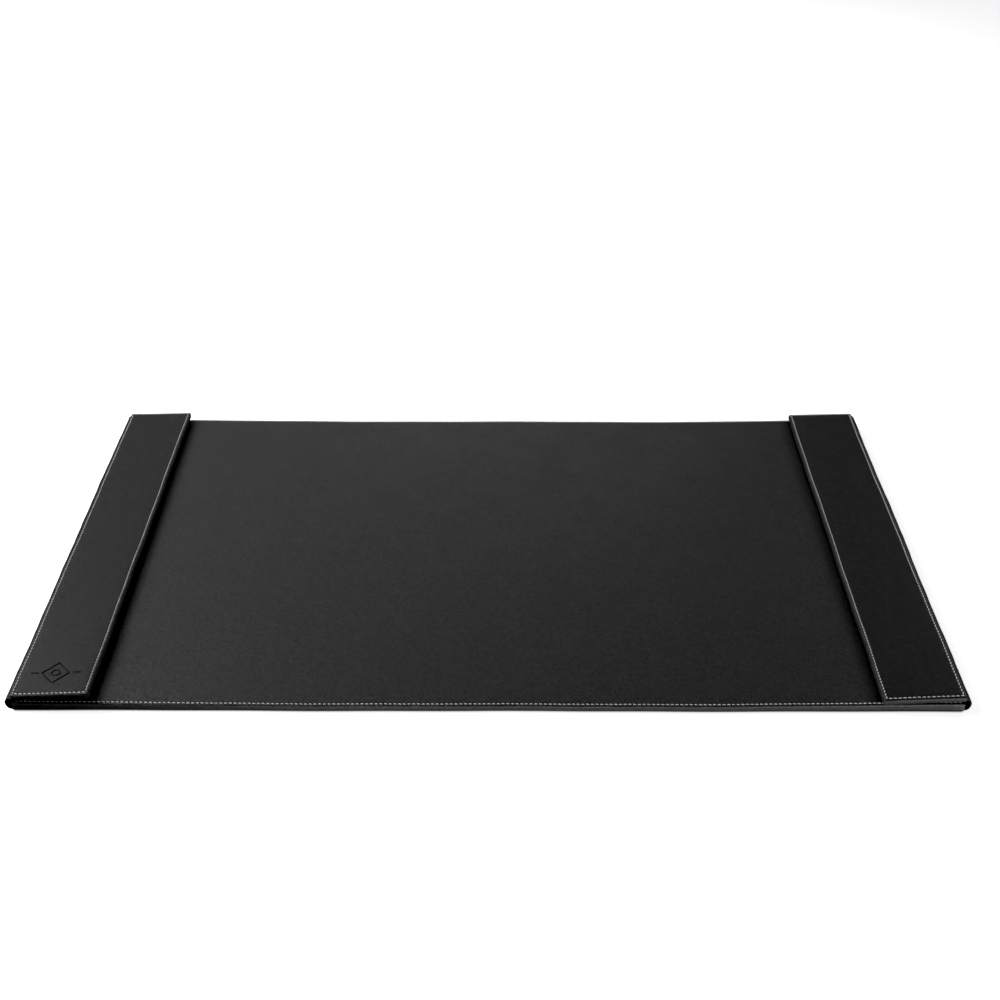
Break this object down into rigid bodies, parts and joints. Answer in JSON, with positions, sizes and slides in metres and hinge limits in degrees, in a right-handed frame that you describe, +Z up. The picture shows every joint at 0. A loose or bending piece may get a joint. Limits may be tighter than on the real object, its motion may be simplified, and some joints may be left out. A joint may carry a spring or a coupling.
{
  "type": "desk mat",
  "caption": "Padded leatherette writing pad for a desk, stitched at its edges, with a flat rail at each end that lifts on a soft spine so a sheet slides under it.",
  "frame": {"origin": "centre of the underside, on the desk", "axes": "+X to the user's right along the mat's width, +Y away from the user, +Z up out of the writing face"},
  "size_m": [0.864, 0.508, 0.0146],
  "materials": {
    "pad_leatherette": "matt, fine pebble grain",
    "rail_leatherette": "satin, fine pebble grain",
    "spine_leatherette": "satin, stretched smooth",
    "felt": "needled felt",
    "lining": "brushed cloth",
    "thread": "twisted polyester thread, pale grey",
    "bobbin_thread": "twisted polyester thread, grey",
    "board": "raw hardboard",
    "foam": "closed-cell foam sheet",
    "spacer_card": "dyed card"
  },
  "bodies": {
    "base": {"base_board": "board", "base_foam": "foam", "base_cover": "pad_leatherette", "base_backing": "felt", "front_stitching": "thread", "rear_stitching": "thread", "front_bobbin_thread": "bobbin_thread", "rear_bobbin_thread": "bobbin_thread", "left_spacer": "spacer_card", "right_spacer": "spacer_card", "left_spine": "spine_leatherette", "right_spine": "spine_leatherette"},
    "left_rail": {"left_rail_board": "board", "left_rail_foam": "foam", "left_rail_cover": "rail_leatherette", "left_rail_lining": "lining", "left_rail_stitching": "thread", "left_rail_bobbin_thread": "bobbin_thread"},
    "right_rail": {"right_rail_board": "board", "right_rail_foam": "foam", "right_rail_cover": "rail_leatherette", "right_rail_lining": "lining", "right_rail_stitching": "thread", "right_rail_bobbin_thread": "bobbin_thread"}
  },
  "joints": [
    {"name": "left_rail_lift", "type": "hinge", "parent": "base", "child": "left_rail", "pos_m": [-0.427, 0, 0.0092], "axis": [0, -1, 0], "range_deg": [0, 45], "stiffness_Nm_per_rad": 0.05, "deforming": ["left_spine"]},
    {"name": "right_rail_lift", "type": "hinge", "parent": "base", "child": "right_rail", "pos_m": [0.427, 0, 0.0092], "axis": [0, 1, 0], "range_deg": [0, 45], "stiffness_Nm_per_rad": 0.05, "deforming": ["right_spine"]}
  ]
}
